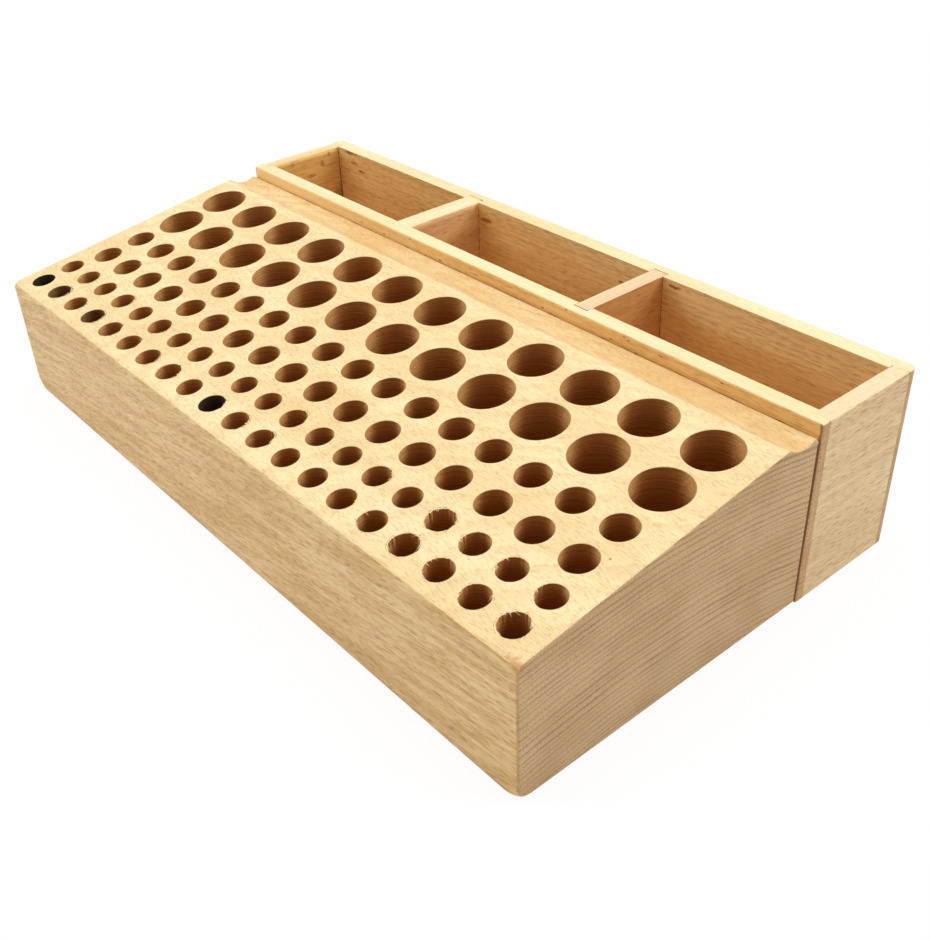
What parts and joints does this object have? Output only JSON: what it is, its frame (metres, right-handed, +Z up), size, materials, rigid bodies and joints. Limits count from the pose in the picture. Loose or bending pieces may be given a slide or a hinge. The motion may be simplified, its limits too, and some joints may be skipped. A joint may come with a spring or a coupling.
{
  "type": "tool holder block",
  "caption": "Wooden bench rack for hand tools: a solid block with a sloped top drilled with rows of round sockets, a groove along its rear edge, and a low divided tray behind it.",
  "frame": {"origin": "middle of the footprint of block and tray together, on the surface the rack stands on", "axes": "+X runs along the rack towards its right end, +Y from the front face towards the tray, +Z up"},
  "size_m": [0.301, 0.1654, 0.0656],
  "materials": {
    "block_beech": "fine sanded, unvarnished",
    "wall_beech": "fine sanded, unvarnished",
    "end_beech": "fine sanded, unvarnished",
    "floor_beech": "fine sanded, unvarnished",
    "divider_beech": "fine sanded, unvarnished",
    "screw_zinc": "zinc plated"
  },
  "bodies": {
    "rack": {"tool_block": "block_beech", "tray_front_wall": "wall_beech", "tray_rear_wall": "wall_beech", "tray_left_end": "end_beech", "tray_right_end": "end_beech", "tray_floor": "floor_beech", "tray_screws": "screw_zinc"},
    "left_divider": {"tray_left_divider": "divider_beech"},
    "right_divider": {"tray_right_divider": "divider_beech"}
  },
  "joints": [
    {"name": "left_divider_lift", "type": "slide", "parent": "rack", "child": "left_divider", "axis": [0, 0, 1], "range_m": [0, 0.06]},
    {"name": "right_divider_lift", "type": "slide", "parent": "rack", "child": "right_divider", "axis": [0, 0, 1], "range_m": [0, 0.06]}
  ]
}
